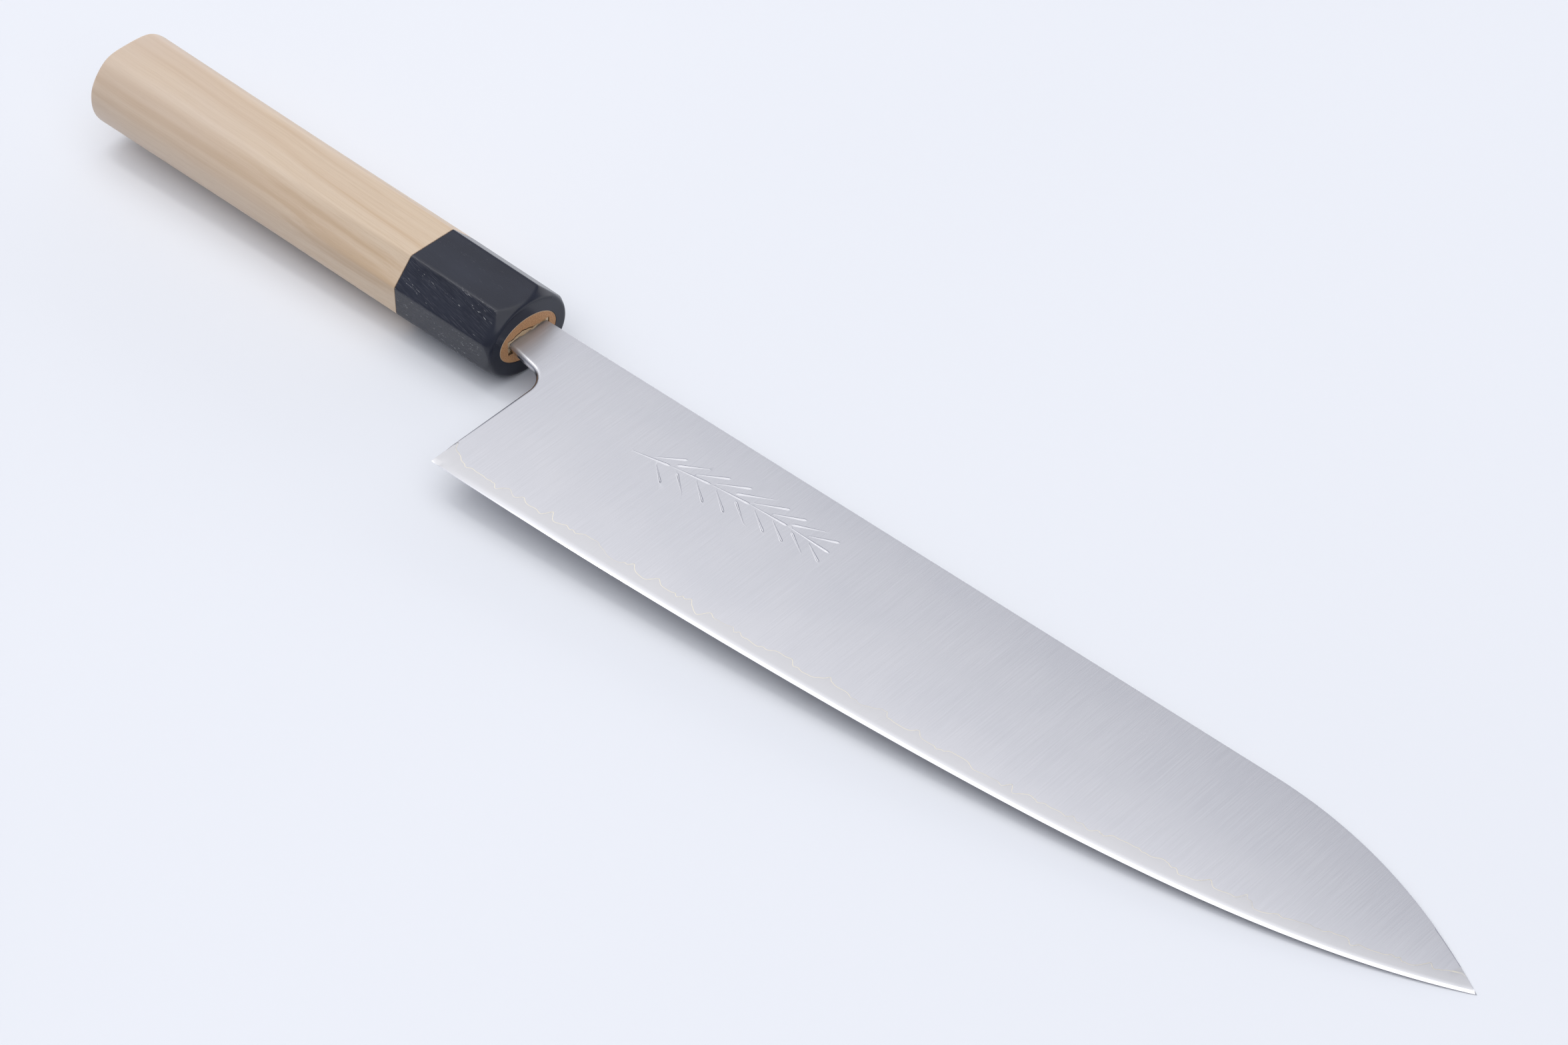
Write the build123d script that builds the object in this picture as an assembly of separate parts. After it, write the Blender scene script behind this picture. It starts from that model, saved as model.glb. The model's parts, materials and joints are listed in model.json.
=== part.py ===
from build123d import *
import os

# A Japanese chef knife (gyuto) with an octagonal wooden handle, a horn ferrule and a blade of
# three steel layers. Millimetres.
#
# It is drawn in the knife's own frame: X runs from the butt to the tip with x = 0 on the front of
# the ferrule, Y points from the cutting edge to the spine, Z points out of the blade's right
# face, and y = z = 0 is the handle's axis. At the end the knife is laid on its left side, the way
# it comes to rest on a table, with +Z up and the origin under the middle of its box.

# Blade outline.
BLADE_LENGTH = 270.6        # heel to tip, along X
HEEL_X = 14.4               # the heel stands this far ahead of the ferrule
HEEL_HEIGHT = 52.0          # spine to edge at the heel
SPINE_Y = 6.5               # the straight part of the spine
TIP_DROP = 19.8             # the tip lies this far below the spine line
SPINE_CURVE_LENGTH = 67.0   # the spine drops over this last stretch
EDGE_SLOPE = 1.3            # how far the edge rises by the tip: evenly along its length,
EDGE_SWEEP = 17.7           # as a slow sweep that grows with the square,
BELLY_POWER = 7             # and as a belly that only shows near the tip
BLADE_SET = 1.0             # degrees: the blade is set this far up from the handle's axis
NECK_BOTTOM_Y = -6.0
NECK_DROP = 2.6             # the neck's lower side falls this much towards the choil
CHOIL_TOP_X = 13.9
CHOIL_RADIUS = 6.5

# Blade thickness.
SPINE_THICKNESS = 3.0       # at the ferrule
TANG_END_THICKNESS = 2.4
THICKNESS_STATIONS = ((HEEL_X, 2.9), (120.0, 2.3), (215.0, 1.9), (HEEL_X + BLADE_LENGTH, 1.2))
SHOULDER_THICKNESS = 0.3    # behind the sharpened bevel
BEVEL_HEIGHT = 0.9
EDGE_WIDTH = 0.06
CONVEXITY = 0.85            # below 1 the faces are slightly convex
CORE_HALF_AT_HEEL = 0.33
CORE_HALF_AT_TIP = 0.27
WEDGE_RISE = 1.5            # the faces' curve runs on to this far above the spine
WEDGE_SHARES = (0.12, 0.3, 0.6, 1.0)    # shares of the height where a section has a corner
WEDGE_STEPS = 14            # sections from the heel to the tip,
WEDGE_CROWDING = 1.5        # above 1 they are closer together near the tip
SPINE_STEPS = 8             # stretches between points on the spine's curve

# Tang.
TANG_LENGTH = 98.0
TANG_END_TOP_Y = 3.0
TANG_END_BOTTOM_Y = -2.6
TANG_SHOULDER = 12.0        # the tang keeps the neck's height this far into the handle
SLOT_CLEARANCE = 0.35       # filled with resin

# Handle.
HANDLE_LENGTH = 143.3
FERRULE_LENGTH = 32.0
FRONT_HEIGHT = 25.0         # the octagon at the ferrule's front, along Y
FRONT_WIDTH = 20.3          # and along Z
BUTT_GROWTH = 1.086         # the butt is this much larger than the front
CHAMFER_Y = 0.235           # each corner is cut by this share of the height
CHAMFER_Z = 0.31            # and this share of the width
CORNER_SHRINK = 0.07        # the corner cuts shrink by this share for each mm of bevel
FRONT_BEVEL = 0.9
BUTT_BEVEL = 0.7
GLUE_THICKNESS = 0.15
TENON_HEIGHT = 18.2
TENON_WIDTH = 11.6

# Shim beside the tang.
SHIM_LENGTH = 18.0
SHIM_TOP_Y = 3.9
SHIM_BOTTOM_Y = -3.9
SHIM_BULGE = 1.05

# How the knife lies: its balance point is ahead of the ferrule, so it tips forward by this many
# degrees, onto the ferrule's lower front edge and the blade's tip.
REST_PITCH = 2.0

# Cutting shapes.
MARGIN = 2.0                # how far a cutter stands past what it cuts
FAR = 400.0                 # half the size of a cutter that takes all of one side

TIP_X = HEEL_X + BLADE_LENGTH
TIP_Y = SPINE_Y - TIP_DROP
HEEL_Y = SPINE_Y - HEEL_HEIGHT
EDGE_BELLY = HEEL_HEIGHT - TIP_DROP - EDGE_SLOPE - EDGE_SWEEP
WEDGE_TOP_Y = SPINE_Y + WEDGE_RISE
SLOT_BACK_X = -TANG_LENGTH - 1.0
SET = Rotation(0, 0, BLADE_SET)


def edge_y(x):
    """Height of the cutting edge; ahead of the heel's line it follows the formula, behind it is level."""
    u = max(0.0, (x - HEEL_X) / BLADE_LENGTH)
    return HEEL_Y + EDGE_SLOPE * u + EDGE_SWEEP * u**2 + EDGE_BELLY * u**BELLY_POWER


def spine_y(x):
    """Height of the spine: straight, then a parabola down to the tip."""
    v = max(0.0, (x - TIP_X + SPINE_CURVE_LENGTH) / SPINE_CURVE_LENGTH)
    return SPINE_Y - TIP_DROP * v**2


def spine_thickness(x):
    """Thickness along the spine, tapering towards the tip and along the tang."""
    stations = ((-TANG_LENGTH, TANG_END_THICKNESS), (0.0, SPINE_THICKNESS)) + THICKNESS_STATIONS
    for (x0, t0), (x1, t1) in zip(stations, stations[1:]):
        if x <= x1:
            return t0 + (t1 - t0) * (x - x0) / (x1 - x0)
    return stations[-1][1]


def half_thickness(x, share):
    """Half the blade's thickness at a share of its height above the bevel's shoulder."""
    low = SHOULDER_THICKNESS / 2
    return low + (spine_thickness(x) / 2 - low) * share**CONVEXITY


def wedge_section(x):
    """Cross-section of the ground blade at x, as a closed face across X."""
    bottom = edge_y(x)
    height = WEDGE_TOP_Y - bottom
    right = [(bottom, EDGE_WIDTH / 2), (bottom + BEVEL_HEIGHT, SHOULDER_THICKNESS / 2)]
    for share in WEDGE_SHARES:
        right.append((bottom + height * share, half_thickness(x, share)))
    outline = right + [(y, -z) for y, z in reversed(right)]
    return Face(Wire.make_polygon([Vector(x, y, z) for y, z in outline]))


def ground_wedge():
    """The blade's thickness all along its length, before its outline is cut."""
    stations = [-TANG_LENGTH - MARGIN, 0.0, HEEL_X]
    for i in range(1, WEDGE_STEPS):
        stations.append(HEEL_X + BLADE_LENGTH * (1 - (1 - i / WEDGE_STEPS) ** WEDGE_CROWDING))
    stations.append(TIP_X + MARGIN)
    return Solid.make_loft([wedge_section(x).outer_wire() for x in stations], ruled=True)


def outline_prism():
    """Spine, tip, choil, neck and tang outline, extruded through the whole thickness."""
    below = HEEL_Y - MARGIN
    curve_start = TIP_X - SPINE_CURVE_LENGTH
    curve_x = [curve_start + SPINE_CURVE_LENGTH * i / SPINE_STEPS for i in range(SPINE_STEPS + 1)]
    drop = [(x, spine_y(x)) for x in curve_x]
    tangents = [(1, 0), (1, -2 * TIP_DROP / SPINE_CURVE_LENGTH)]
    choil_lean = (HEEL_X - CHOIL_TOP_X) / (NECK_BOTTOM_Y - NECK_DROP - HEEL_Y)
    neck_line = Polyline(
        (TIP_X, TIP_Y),
        (TIP_X, below),
        (HEEL_X + choil_lean * (HEEL_Y - below), below),
        (CHOIL_TOP_X, NECK_BOTTOM_Y - NECK_DROP),
        (0, NECK_BOTTOM_Y),
        (-TANG_SHOULDER, NECK_BOTTOM_Y),
        (-TANG_LENGTH, TANG_END_BOTTOM_Y),
        (-TANG_LENGTH, TANG_END_TOP_Y),
        (-TANG_SHOULDER, SPINE_Y),
        (curve_start, SPINE_Y),
    )
    face = make_face(neck_line.edges() + [Spline(*drop, tangents=tangents)])
    corner = face.vertices().sort_by_distance((CHOIL_TOP_X, NECK_BOTTOM_Y - NECK_DROP, 0))[0]
    face = fillet(corner, CHOIL_RADIUS)
    return extrude(face, amount=SPINE_THICKNESS, both=True)


def core_slab():
    """The space of the middle layer: it thins towards the tip as the blade was drawn out."""
    back_x = -TANG_LENGTH - MARGIN
    front_x = TIP_X + MARGIN
    outline = Polyline(
        (back_x, CORE_HALF_AT_HEEL),
        (HEEL_X, CORE_HALF_AT_HEEL),
        (front_x, CORE_HALF_AT_TIP),
        (front_x, -CORE_HALF_AT_TIP),
        (HEEL_X, -CORE_HALF_AT_HEEL),
        (back_x, -CORE_HALF_AT_HEEL),
        close=True,
    )
    face = Plane.XZ * make_face(outline)
    return extrude(face, amount=HEEL_HEIGHT + MARGIN, both=True)


def blade_layers():
    """Core, right cladding and left cladding, cut from one ground blank."""
    blank = ground_wedge() & outline_prism()
    slab = core_slab()
    right_side = Pos(0, 0, FAR) * Box(2 * FAR, 2 * FAR, 2 * FAR)
    left_side = Pos(0, 0, -FAR) * Box(2 * FAR, 2 * FAR, 2 * FAR)
    core = blank & slab
    outside = blank - slab
    return [SET * layer for layer in (blank, core, outside & right_side, outside & left_side)]


def octagon(x, inset=0.0):
    """Corners of the handle's octagon at x."""
    growth = 1 + (BUTT_GROWTH - 1) * -x / HANDLE_LENGTH
    half_h = FRONT_HEIGHT * growth / 2 - inset
    half_w = FRONT_WIDTH * growth / 2 - inset
    cut = growth * (1 - CORNER_SHRINK * inset)
    a = half_h - CHAMFER_Y * FRONT_HEIGHT * cut
    b = half_w - CHAMFER_Z * FRONT_WIDTH * cut
    corners = [(half_h, b), (a, half_w), (-a, half_w), (-half_h, b)]
    corners += [(-half_h, -b), (-a, -half_w), (a, -half_w), (half_h, -b)]
    return [Vector(x, y, z) for y, z in corners]


def octagonal_bar(sections):
    """A solid with flat facets between octagons given as (x, inset)."""
    rings = [octagon(x, inset) for x, inset in sections]
    faces = [Face(Wire.make_polygon(rings[0])), Face(Wire.make_polygon(rings[-1]))]
    for ring, following in zip(rings, rings[1:]):
        for i in range(8):
            j = (i + 1) % 8
            faces.append(Face(Wire.make_polygon([ring[i], ring[j], following[j], following[i]])))
    return Solid(Shell(faces))


def tenon_oval(length, back_x):
    """Oval bar along X, starting at back_x."""
    plane = Plane(origin=(back_x, 0, 0), x_dir=(0, 1, 0), z_dir=(1, 0, 0))
    return extrude(plane * Ellipse(TENON_HEIGHT / 2, TENON_WIDTH / 2), amount=length)


def tang_slot():
    """The slot in the handle: the tang's own shape with room for resin all round."""
    c = SLOT_CLEARANCE
    mouth = (NECK_BOTTOM_Y - c, SPINE_Y + c, SPINE_THICKNESS / 2 + c)
    end = (TANG_END_BOTTOM_Y - c, TANG_END_TOP_Y + c, TANG_END_THICKNESS / 2 + c)
    wires = []
    for x, (low, high, half) in ((MARGIN, mouth), (-TANG_SHOULDER, mouth), (SLOT_BACK_X, end)):
        corners = [(low, -half), (high, -half), (high, half), (low, half)]
        wires.append(Wire.make_polygon([Vector(x, y, z) for y, z in corners]))
    handle_side = Pos(-FAR, 0, 0) * Box(2 * FAR, 2 * FAR, 2 * FAR)
    return (SET * Solid.make_loft(wires, ruled=True)) & handle_side


def tang_shim():
    """A sliver of wood, lens-shaped from the front, between the tang's right side and the tenon."""
    z = SPINE_THICKNESS / 2 + SLOT_CLEARANCE
    plane = Plane(origin=(-SHIM_LENGTH, 0, 0), x_dir=(0, 1, 0), z_dir=(1, 0, 0))
    bow = ThreePointArc((SHIM_BOTTOM_Y, z), (0, z + SHIM_BULGE), (SHIM_TOP_Y, z))
    chord = Line((SHIM_TOP_Y, z), (SHIM_BOTTOM_Y, z))
    return extrude(plane * make_face([bow, chord]), amount=SHIM_LENGTH)


def handle_parts(blank):
    """Wood, ferrule, glue film, resin and shim."""
    shoulder_x = -FERRULE_LENGTH - GLUE_THICKNESS
    slot = tang_slot()
    shim = tang_shim()
    tenon = tenon_oval(-shoulder_x, shoulder_x)
    butt_sections = [(-HANDLE_LENGTH, BUTT_BEVEL), (-HANDLE_LENGTH + BUTT_BEVEL, 0), (shoulder_x, 0)]
    wood = octagonal_bar(butt_sections) + tenon - slot - shim
    ferrule = octagonal_bar([(-FERRULE_LENGTH, 0), (-FRONT_BEVEL, 0), (0, FRONT_BEVEL)]) - tenon
    glue = octagonal_bar([(shoulder_x, 0), (-FERRULE_LENGTH, 0)]) - tenon
    resin = slot - blank
    return {
        "handle_wood": wood,
        "horn_ferrule": ferrule,
        "shoulder_glue": glue,
        "tang_resin": resin,
        "tang_shim": shim,
    }


def lay_on_table(parts):
    """Tip the knife onto its support points and put the origin under the middle of its box."""
    tilt = Rotation(0, REST_PITCH, 0)
    tilted = {name: tilt * shape for name, shape in parts.items()}
    box = Compound(list(tilted.values())).bounding_box()
    shift = Pos(-(box.min.X + box.max.X) / 2, -(box.min.Y + box.max.Y) / 2, -box.min.Z)
    print("the ferrule's front centre, at the handle's axis, goes to", shift.position)
    return {name: shift * shape for name, shape in tilted.items()}


def main():
    blank, core, right, left = blade_layers()
    parts = {"core_steel": core, "right_cladding": right, "left_cladding": left}
    parts.update(handle_parts(blank))
    os.makedirs("parts", exist_ok=True)
    for name, shape in lay_on_table(parts).items():
        export_step(shape, f"parts/{name}.step")
        print(name, len(shape.solids()), round(shape.volume, 2), shape.is_valid)


main()
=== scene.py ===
import json
import math

import bmesh
import bpy
import numpy as np
from mathutils import Matrix, Vector, noise
from mathutils.geometry import delaunay_2d_cdt


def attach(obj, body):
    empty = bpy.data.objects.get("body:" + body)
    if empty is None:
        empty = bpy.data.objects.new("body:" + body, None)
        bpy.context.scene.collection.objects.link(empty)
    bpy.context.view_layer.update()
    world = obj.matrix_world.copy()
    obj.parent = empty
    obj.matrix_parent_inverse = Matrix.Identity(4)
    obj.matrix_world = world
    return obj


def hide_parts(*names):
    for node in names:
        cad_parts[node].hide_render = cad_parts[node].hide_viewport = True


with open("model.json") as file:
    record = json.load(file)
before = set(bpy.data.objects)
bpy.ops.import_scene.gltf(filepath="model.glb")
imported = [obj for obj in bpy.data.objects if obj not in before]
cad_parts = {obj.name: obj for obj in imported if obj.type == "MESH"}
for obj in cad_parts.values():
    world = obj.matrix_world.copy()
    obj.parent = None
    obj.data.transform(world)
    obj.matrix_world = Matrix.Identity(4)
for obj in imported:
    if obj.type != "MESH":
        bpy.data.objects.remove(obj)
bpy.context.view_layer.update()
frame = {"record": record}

# The knife is modelled in its own frame, in millimetres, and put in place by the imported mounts:
# X from the butt to the tip with x = 0 on the ferrule's front, Y from the edge to the spine,
# Z out of the blade's right face. The blade has its own frame, turned a little in the handle.

# -------------------- dimensions
# As in the CAD model, but for the bevel, which narrows to the heel, and the roundings.
BLADE_LENGTH = 270.6
HEEL_X = 14.4
HEEL_HEIGHT = 52.0
SPINE_Y = 6.5
TIP_DROP = 19.8
SPINE_CURVE_LENGTH = 67.0
EDGE_SLOPE = 1.3
EDGE_SWEEP = 17.7
BELLY_POWER = 7
NECK_BOTTOM_Y = -6.0
NECK_DROP = 2.6
CHOIL_TOP_X = 13.9
CHOIL_RADIUS = 6.5
THICKNESS_X = (-98.0, 0.0, HEEL_X, 120.0, 215.0, 285.0)
THICKNESS = (2.4, 3.0, 2.9, 2.3, 1.9, 1.2)
SHOULDER_HALF = 0.15
CONVEXITY = 0.85
CORE_HALF_AT_HEEL = 0.33
CORE_HALF_AT_TIP = 0.27
BEVEL_AT_HEEL = 0.24
BEVEL_GROWTH = 0.66
BEVEL_GROWS_OVER = 110.0
SPINE_ROUNDING = 0.38
CHOIL_ROUNDING = 0.9
MAX_ROUND_RADIUS = 1.3
TANG_LENGTH = 98.0
TANG_END_TOP_Y = 3.0
TANG_END_BOTTOM_Y = -2.6
TANG_SHOULDER = 12.0
FERRULE_LENGTH = 32.0
FRONT_HEIGHT = 25.0
FRONT_WIDTH = 20.3
BUTT_GROWTH = 1.086
CHAMFER_Y = 0.235
CHAMFER_Z = 0.31
GLUE_THICKNESS = 0.15
TENON_HEIGHT = 18.2
TENON_WIDTH = 11.6

TIP_X = HEEL_X + BLADE_LENGTH
HEEL_Y = SPINE_Y - HEEL_HEIGHT
EDGE_BELLY = HEEL_HEIGHT - TIP_DROP - EDGE_SLOPE - EDGE_SWEEP
WEDGE_TOP_Y = SPINE_Y + 1.5


# -------------------- placing
def mount(name):
    return next(m for m in frame["record"]["mounts"] if m["name"] == name)


def frame_matrix(x_axis, z_axis, origin):
    """Matrix that takes millimetres in a frame given by two axes to metres in the world."""
    x = Vector(x_axis).normalized()
    y = Vector(z_axis).cross(x).normalized()
    z = x.cross(y)
    turn = Matrix((x, y, z)).transposed().to_4x4()
    return Matrix.Translation(origin) @ turn @ Matrix.Scale(0.001, 4)


def knife_frames():
    """The handle's frame, the blade's frame and the handle's length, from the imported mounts."""
    butt = Vector(mount("butt_flat")["pos_m"])
    along = Vector(mount("ferrule_front")["axis"])
    up = Vector(mount("handle_right_flat")["pos_m"]) - Vector(mount("handle_left_flat")["pos_m"])
    length = (Vector(mount("ferrule_front")["pos_m"]) - butt).dot(along)
    front = butt + along * length
    handle = frame_matrix(along, up, front)
    blade = frame_matrix(mount("blade_line")["axis"], up, front)
    return handle, blade, length * 1000


HANDLE, BLADE, HANDLE_LENGTH = knife_frames()


# -------------------- mesh helpers
def place_object(name, data):
    thing = bpy.data.objects.new(name, data)
    bpy.context.scene.collection.objects.link(thing)
    return thing


def add_object(name, points, faces, matrix, materials, uvs=None, face_materials=None, sharp_degrees=None):
    """A mesh object from points in millimetres in the given frame, placed in the world."""
    mesh = bpy.data.meshes.new(name)
    mesh.from_pydata([tuple(p) for p in points], [], faces)
    for layer_name, values in (uvs or {}).items():
        layer = mesh.uv_layers.new(name=layer_name)
        loops = np.empty(len(mesh.loops), np.int32)
        mesh.loops.foreach_get("vertex_index", loops)
        layer.data.foreach_set("uv", np.asarray(values, np.float32)[loops].ravel())
    for material in materials:
        mesh.materials.append(material)
    if face_materials is not None:
        mesh.polygons.foreach_set("material_index", np.asarray(face_materials, np.int32))
    mesh.transform(matrix)
    mesh.update()
    mesh.shade_smooth()
    if sharp_degrees:
        sharpen(mesh, sharp_degrees)
    return place_object(name, mesh)


def sharpen(mesh, degrees):
    """Marks edges sharp where faces meet at more than an angle, or where the material changes."""
    work = bmesh.new()
    work.from_mesh(mesh)
    limit = math.radians(degrees)
    for edge in work.edges:
        a, b = edge.link_faces if len(edge.link_faces) == 2 else (None, None)
        edge.smooth = bool(a) and a.material_index == b.material_index and edge.calc_face_angle(0.0) < limit
    work.to_mesh(mesh)
    work.free()


def ring_faces(rows, count, first=0):
    """Quads between consecutive closed rings of points."""
    faces = []
    for i in range(rows - 1):
        for j in range(count):
            k = (j + 1) % count
            a = first + i * count
            b = a + count
            faces.append((a + j, b + j, b + k, a + k))
    return faces


# -------------------- blade shape
def edge_y(x):
    u = np.clip((x - HEEL_X) / BLADE_LENGTH, 0, None)
    return HEEL_Y + EDGE_SLOPE * u + EDGE_SWEEP * u**2 + EDGE_BELLY * u**BELLY_POWER


def spine_y(x):
    v = np.clip((x - TIP_X + SPINE_CURVE_LENGTH) / SPINE_CURVE_LENGTH, 0, None)
    return SPINE_Y - TIP_DROP * v**2


def bevel_height(x):
    """Height of the sharpened bevel: narrow at the heel, wider from the middle on."""
    t = np.clip((x - HEEL_X) / BEVEL_GROWS_OVER, 0, 1)
    return BEVEL_AT_HEEL + BEVEL_GROWTH * t * t * (3 - 2 * t)


def flat_half_thickness(x, y):
    """Half the thickness of the ground blade, before its spine and choil are rounded."""
    bottom = edge_y(x)
    h = y - bottom
    bevel = bevel_height(x)
    share = np.clip((h - bevel) / (WEDGE_TOP_Y - bottom - bevel), 0, 1)
    face = SHOULDER_HALF + (np.interp(x, THICKNESS_X, THICKNESS) / 2 - SHOULDER_HALF) * share**CONVEXITY
    return np.where(h < bevel, SHOULDER_HALF * np.clip(h / bevel, 0, 1), face)


def rounded_side():
    """The outline's rounded part, from the tip back along the spine, round the tang, the neck and
    the choil, to the heel."""
    points = []
    for i in range(70):
        x = TIP_X - SPINE_CURVE_LENGTH * i / 70
        points.append((x, float(spine_y(x))))
    points += [(x, SPINE_Y) for x in np.linspace(TIP_X - SPINE_CURVE_LENGTH, 0, 146)]
    points += [(x, SPINE_Y) for x in (-4, -8, -TANG_SHOULDER)]
    taper = [(i / 12, -TANG_SHOULDER - (TANG_LENGTH - TANG_SHOULDER) * (i / 12)) for i in range(1, 12)]
    points += [(x, SPINE_Y + (TANG_END_TOP_Y - SPINE_Y) * t) for t, x in taper]
    points += [(-TANG_LENGTH, TANG_END_TOP_Y), (-TANG_LENGTH, TANG_END_BOTTOM_Y)]
    points += [(x, NECK_BOTTOM_Y + (TANG_END_BOTTOM_Y - NECK_BOTTOM_Y) * t) for t, x in reversed(taper)]
    points += [(x, NECK_BOTTOM_Y) for x in (-TANG_SHOULDER, -8, -4, -2)]

    corner = Vector((CHOIL_TOP_X, NECK_BOTTOM_Y - NECK_DROP))
    to_neck = (Vector((0, NECK_BOTTOM_Y)) - corner).normalized()
    to_heel = (Vector((HEEL_X, HEEL_Y)) - corner).normalized()
    half_angle = to_neck.angle(to_heel) / 2
    reach = CHOIL_RADIUS / math.tan(half_angle)
    centre = corner + (to_neck + to_heel).normalized() * CHOIL_RADIUS / math.sin(half_angle)
    start = corner + to_neck * reach
    end = corner + to_heel * reach
    for i in range(10):
        points.append(tuple(Vector((0, NECK_BOTTOM_Y)).lerp(start, i / 10)))
    a0 = math.atan2(start.y - centre.y, start.x - centre.x)
    a1 = math.atan2(end.y - centre.y, end.x - centre.x)
    for i in range(25):
        a = a0 + (a1 - a0) * i / 24
        points.append((centre.x + CHOIL_RADIUS * math.cos(a), centre.y + CHOIL_RADIUS * math.sin(a)))
    points += [tuple(end.lerp(Vector((HEEL_X, HEEL_Y)), i / 40)) for i in range(1, 40)]
    return np.array(points)


def cutting_side():
    """The outline's sharp part, from the heel, whose corner is a little rounded, to the tip."""
    xs = HEEL_X + BLADE_LENGTH * (1 - (1 - np.linspace(0, 1, 330)) ** 1.15)
    return np.r_[[(HEEL_X + 0.08, HEEL_Y + 0.12)], np.c_[xs, edge_y(xs)][1:-1]]


ROUND_SIDE = rounded_side()
STEPS_ALONG = np.roll(ROUND_SIDE, -1, 0) - np.roll(ROUND_SIDE, 1, 0)
STEPS_ALONG[0] = ROUND_SIDE[1] - ROUND_SIDE[0]
STEPS_ALONG[-1] = ROUND_SIDE[-1] - ROUND_SIDE[-2]
INWARD = np.c_[-STEPS_ALONG[:, 1], STEPS_ALONG[:, 0]] / np.linalg.norm(STEPS_ALONG, axis=1)[:, None]
INNER = ROUND_SIDE + INWARD * 0.5
ROUND_HALF = flat_half_thickness(INNER[:, 0], INNER[:, 1])
ROUND_SHARE = np.where(INNER[:, 1] < NECK_BOTTOM_Y + 1.0, CHOIL_ROUNDING, SPINE_ROUNDING)
ROUND_RADIUS = np.clip(ROUND_SHARE * ROUND_HALF, 0.02, MAX_ROUND_RADIUS)


def to_segment(points, a, b):
    """Distance of each point from a segment, and the share of the way along it."""
    d = b - a
    t = np.clip(((points - a) @ d) / (d @ d), 0, 1)
    return np.linalg.norm(points - a - t[:, None] * d, axis=1), t


def outer_half_thickness(points):
    """Half thickness with the spine, neck and choil rounded over."""
    points = np.asarray(points, float)
    best = np.full(len(points), 1e9)
    radius = np.ones(len(points))
    for i in range(len(ROUND_SIDE) - 1):
        gap, t = to_segment(points, ROUND_SIDE[i], ROUND_SIDE[i + 1])
        near = gap < best
        best[near] = gap[near]
        radius[near] = (ROUND_RADIUS[i] * (1 - t) + ROUND_RADIUS[i + 1] * t)[near]
    s = np.clip(best / radius, 0, 1)
    return flat_half_thickness(points[:, 0], points[:, 1]) * np.sqrt(1 - (1 - s) ** 2)


# -------------------- lamination line and sprig
SEAM_STEP = 0.38            # between points along the line
SEAM_LINE_WIDTH = 0.15
STEM_WIDTH, STEM_DEPTH = 0.22, 0.12
LEAF_WIDTH, LEAF_DEPTH = 0.25, 0.14
LEAF_PAIRS = 9
BURR = 0.09                 # width of the raised lip along each cut
GUARD = 0.12                # width of the flat that is meshed beside the lip


def seam_height(x, seed):
    """Height of the lamination line above the edge: it wanders and steps as forge-welded steel does."""
    warp = x + 1.4 * math.sin(x / 2.9 + seed) + 0.9 * math.sin(x / 1.3 + 2 * seed)
    wander = 2.2 * noise.noise(Vector((warp / 7.0, seed, 0.0)))
    wander += 1.7 * noise.noise(Vector((warp / 2.8, seed, 5.0)))
    slow = 0.8 * noise.noise(Vector((x / 40.0, seed, 9.0)))
    at_heel = 3.6 * math.exp(-max(0.0, x - HEEL_X) / 2.2)
    return max(2.4, 4.7 + wander + slow + at_heel)


def core_half(x):
    """Half the thickness of the core, which thins a little towards the tip."""
    t = np.clip((x - HEEL_X) / BLADE_LENGTH, 0, 1)
    return CORE_HALF_AT_HEEL + (CORE_HALF_AT_TIP - CORE_HALF_AT_HEEL) * t


def seam_line(seed):
    """The lamination line from heel to tip, in fine steps."""
    xs = np.arange(HEEL_X + 0.1, TIP_X, 0.1)
    line = np.array([(x, float(edge_y(x)) + seam_height(x, seed)) for x in xs])
    return line[line[:, 1] < spine_y(line[:, 0]) - 0.5]


def above_seam(points, seed):
    """Distance from the lamination line, positive above it."""
    line = seam_line(seed)
    nearest = np.full(len(points), 1e9)
    for a, b in zip(line, line[1:]):
        nearest = np.minimum(nearest, to_segment(points, a, b)[0])
    line_y = np.interp(points[:, 0], line[:, 0], line[:, 1])
    return nearest * np.sign(points[:, 1] - line_y)


def interface_loop(seed):
    """Closed line on the outside of the blade where cladding meets core: the wavy lamination line,
    then a line just inside the rounded spine, tang, neck and choil."""
    rim = []
    for p, n, half, r in zip(ROUND_SIDE, INWARD, ROUND_HALF, ROUND_RADIUS):
        c = core_half(p[0])
        if half > c * 1.06:
            rim.append(tuple(p + n * r * (1 - math.cos(math.asin(c / half)))))
    line = seam_line(seed)
    travelled = np.r_[0, np.cumsum(np.linalg.norm(np.diff(line, axis=0), axis=1))]
    even = np.linspace(0, travelled[-1], int(travelled[-1] / SEAM_STEP))
    wave = np.c_[np.interp(even, travelled, line[:, 0]), np.interp(even, travelled, line[:, 1])]
    wave = wave[wave[:, 0] < rim[0][0] - 0.6]
    rim = [p for p in rim if p[0] < HEEL_X - 2.5 or p[1] > wave[0, 1] + 1.0]
    return np.r_[rim, wave]


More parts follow.
